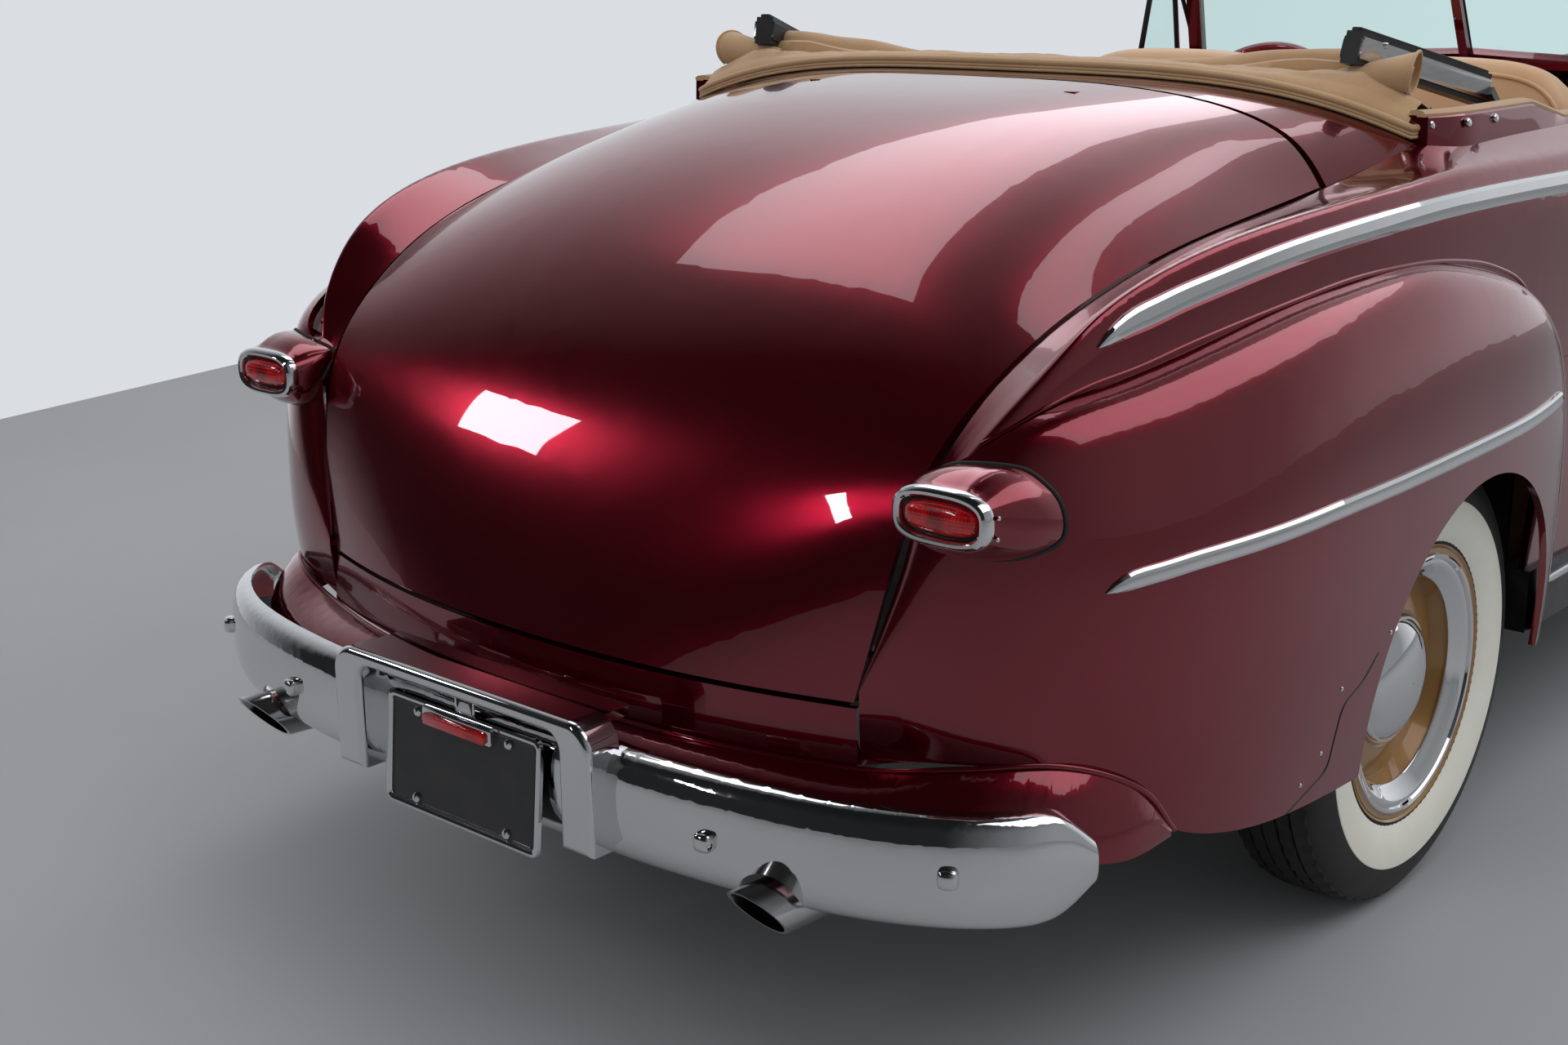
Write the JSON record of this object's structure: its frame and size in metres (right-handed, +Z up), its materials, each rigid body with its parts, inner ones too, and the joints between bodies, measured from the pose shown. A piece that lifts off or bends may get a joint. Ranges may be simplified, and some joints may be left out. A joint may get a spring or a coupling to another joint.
{
  "type": "two-door convertible car",
  "caption": "Open two-door car with its fabric top folded down, split windshield, bolt-on fenders, chrome bumpers, opening doors, hood and deck lid, turning wheels and working steering.",
  "frame": {"origin": "on the floor under the middle of the car's box", "axes": "+Z up, +Y towards the rear, +X towards the car's left side"},
  "size_m": [1.85, 5.126, 1.6109],
  "materials": {
    "body_paint": "deep maroon gloss paint",
    "black_paint": "satin black paint",
    "chrome": "polished plating",
    "steel": "polished steel pipe",
    "clear_glass": "lightly tinted glass",
    "red_glass": "red lens",
    "leather": "tan hide",
    "top_cloth": "tan top cloth",
    "wheel_plastic": "maroon gloss",
    "cast_iron": "dark casting",
    "tyre": "black rubber with a white wall",
    "wheel_paint": "caramel gloss enamel with a chrome cap and ring"
  },
  "bodies": {
    "car_body": {"cowl": "body_paint", "floor": "black_paint", "quarters": "body_paint", "quarter_trims": "leather", "deck_surround": "body_paint", "rear_fenders": "body_paint", "front_fenders": "body_paint", "grille_shell": "body_paint", "grille": "chrome", "splash_pans": "body_paint", "bumpers": "chrome", "licence_plate": "black_paint", "lamp_bezels": "chrome", "head_lamp_lenses": "clear_glass", "tail_lamp_pods": "body_paint", "tail_lamp_lenses": "red_glass", "windshield_frame": "body_paint", "windshield_glass": "clear_glass", "dashboard": "body_paint", "steering_column": "black_paint", "seats": "leather", "folded_top": "top_cloth", "top_irons": "black_paint", "chassis_rails": "black_paint", "chassis_crossmembers": "black_paint", "axles": "black_paint", "engine_block": "cast_iron", "radiator": "black_paint", "fuel_tank": "black_paint", "exhausts": "steel"},
    "deck_lid": {"deck_lid": "body_paint"},
    "hood": {"hood": "body_paint"},
    "left_door": {"door_left": "body_paint", "vent_window_left": "black_paint"},
    "right_door": {"door_right": "body_paint", "vent_window_right": "black_paint"},
    "steering_wheel": {"steering_wheel": "wheel_plastic"},
    "left_knuckle": {"knuckle_left": "black_paint"},
    "right_knuckle": {"knuckle_right": "black_paint"},
    "front_left_wheel": {"tyre_front_left": "tyre", "wheel_front_left": "wheel_paint"},
    "front_right_wheel": {"tyre_front_right": "tyre", "wheel_front_right": "wheel_paint"},
    "rear_left_wheel": {"tyre_rear_left": "tyre", "wheel_rear_left": "wheel_paint"},
    "rear_right_wheel": {"tyre_rear_right": "tyre", "wheel_rear_right": "wheel_paint"}
  },
  "joints": [
    {"name": "steer_left", "type": "hinge", "parent": "car_body", "child": "left_knuckle", "pos_m": [0.636, -1.647, 0.352], "axis": [0, 0, 1], "range_deg": [-32, 32]},
    {"name": "steer_right", "type": "hinge", "parent": "car_body", "child": "right_knuckle", "pos_m": [-0.636, -1.647, 0.352], "axis": [0, 0, 1], "range_deg": [-32, 32]},
    {"name": "steering_wheel_turn", "type": "hinge", "parent": "car_body", "child": "steering_wheel", "pos_m": [0.38, -0.266, 1.039], "axis": [0, 0.8499, 0.5269], "range_deg": [-544, 544]},
    {"name": "front_left_spin", "type": "hinge", "parent": "left_knuckle", "child": "front_left_wheel", "pos_m": [0.7365, -1.647, 0.352], "axis": [1, 0, 0], "continuous": true},
    {"name": "front_right_spin", "type": "hinge", "parent": "right_knuckle", "child": "front_right_wheel", "pos_m": [-0.7365, -1.647, 0.352], "axis": [1, 0, 0], "continuous": true},
    {"name": "rear_left_spin", "type": "hinge", "parent": "car_body", "child": "rear_left_wheel", "pos_m": [0.762, 1.35, 0.352], "axis": [1, 0, 0], "continuous": true},
    {"name": "rear_right_spin", "type": "hinge", "parent": "car_body", "child": "rear_right_wheel", "pos_m": [-0.762, 1.35, 0.352], "axis": [1, 0, 0], "continuous": true},
    {"name": "left_door_hinge", "type": "hinge", "parent": "car_body", "child": "left_door", "pos_m": [0.822, -0.4945, 0.8], "axis": [0, 0, -1], "range_deg": [0, 68]},
    {"name": "right_door_hinge", "type": "hinge", "parent": "car_body", "child": "right_door", "pos_m": [-0.822, -0.4945, 0.8], "axis": [0, 0, 1], "range_deg": [0, 68]},
    {"name": "deck_lid_hinge", "type": "hinge", "parent": "car_body", "child": "deck_lid", "pos_m": [0, 1.48, 1.225], "axis": [1, 0, 0], "range_deg": [0, 60]},
    {"name": "hood_hinge", "type": "hinge", "parent": "car_body", "child": "hood", "pos_m": [0, -0.7605, 1.158], "axis": [-1, 0, 0], "range_deg": [0, 45]}
  ],
  "couplings": [
    {"joint": "steer_right", "follows": "steer_left", "ratio": 1},
    {"joint": "steering_wheel_turn", "follows": "steer_left", "ratio": 17}
  ]
}
